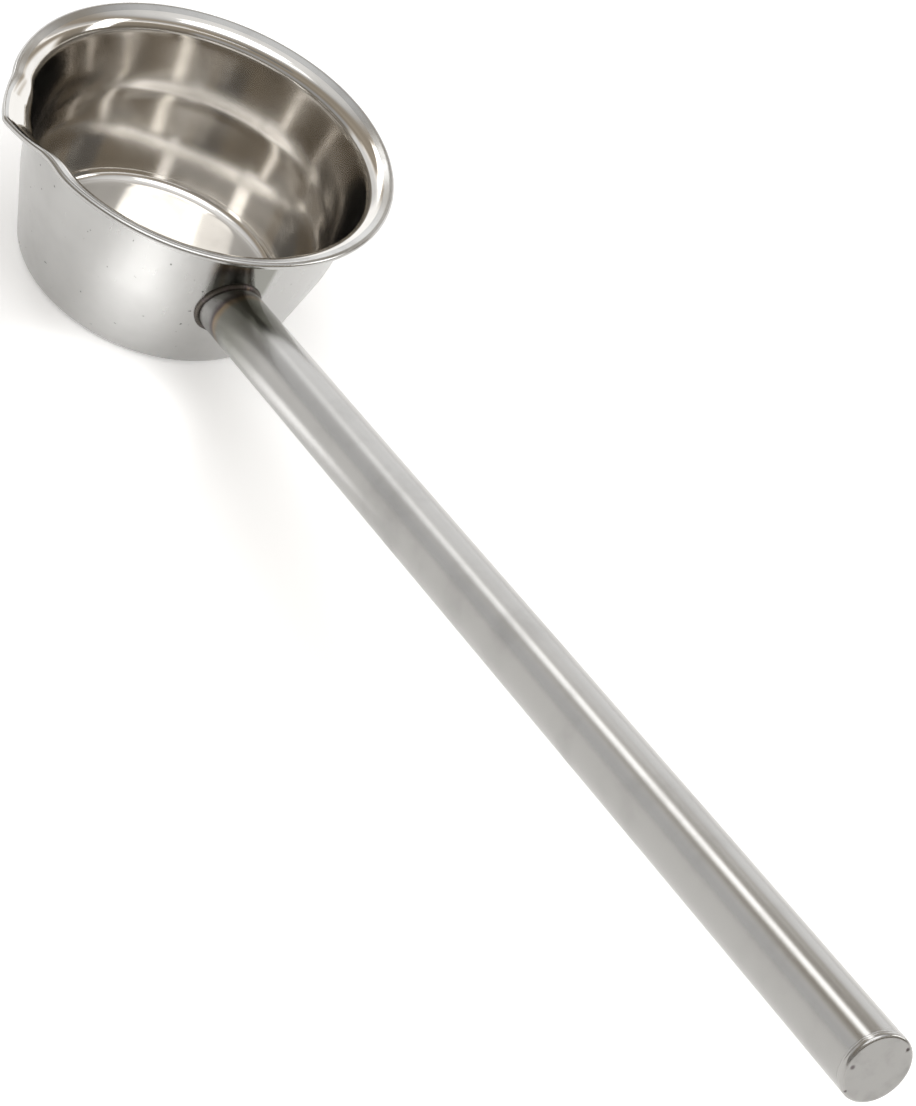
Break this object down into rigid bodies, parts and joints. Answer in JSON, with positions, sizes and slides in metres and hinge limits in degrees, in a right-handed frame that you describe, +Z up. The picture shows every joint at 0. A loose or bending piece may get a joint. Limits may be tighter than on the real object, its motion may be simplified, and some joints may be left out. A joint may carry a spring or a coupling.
{
  "type": "candle melting pot",
  "caption": "Small stainless melting pot with a rolled rim, one pouring lip and a long straight tube handle that rises from the wall.",
  "frame": {"origin": "centre of the bowl's flat underside", "axes": "+Z up, square to the base; the handle leaves the wall towards +X and rises; the pouring lip points to -Y"},
  "size_m": [0.5681, 0.1515, 0.1843],
  "materials": {
    "bowl_steel": "polished inside, satin outside",
    "tube_steel": "satin, drawn lengthwise",
    "cap_steel": "satin",
    "weld_steel": "dark heat-tinted weld"
  },
  "bodies": {
    "root": {"bowl": "bowl_steel", "handle_tube": "tube_steel", "end_cap": "cap_steel", "root_weld": "weld_steel", "end_cap_weld": "cap_steel"}
  },
  "joints": []
}
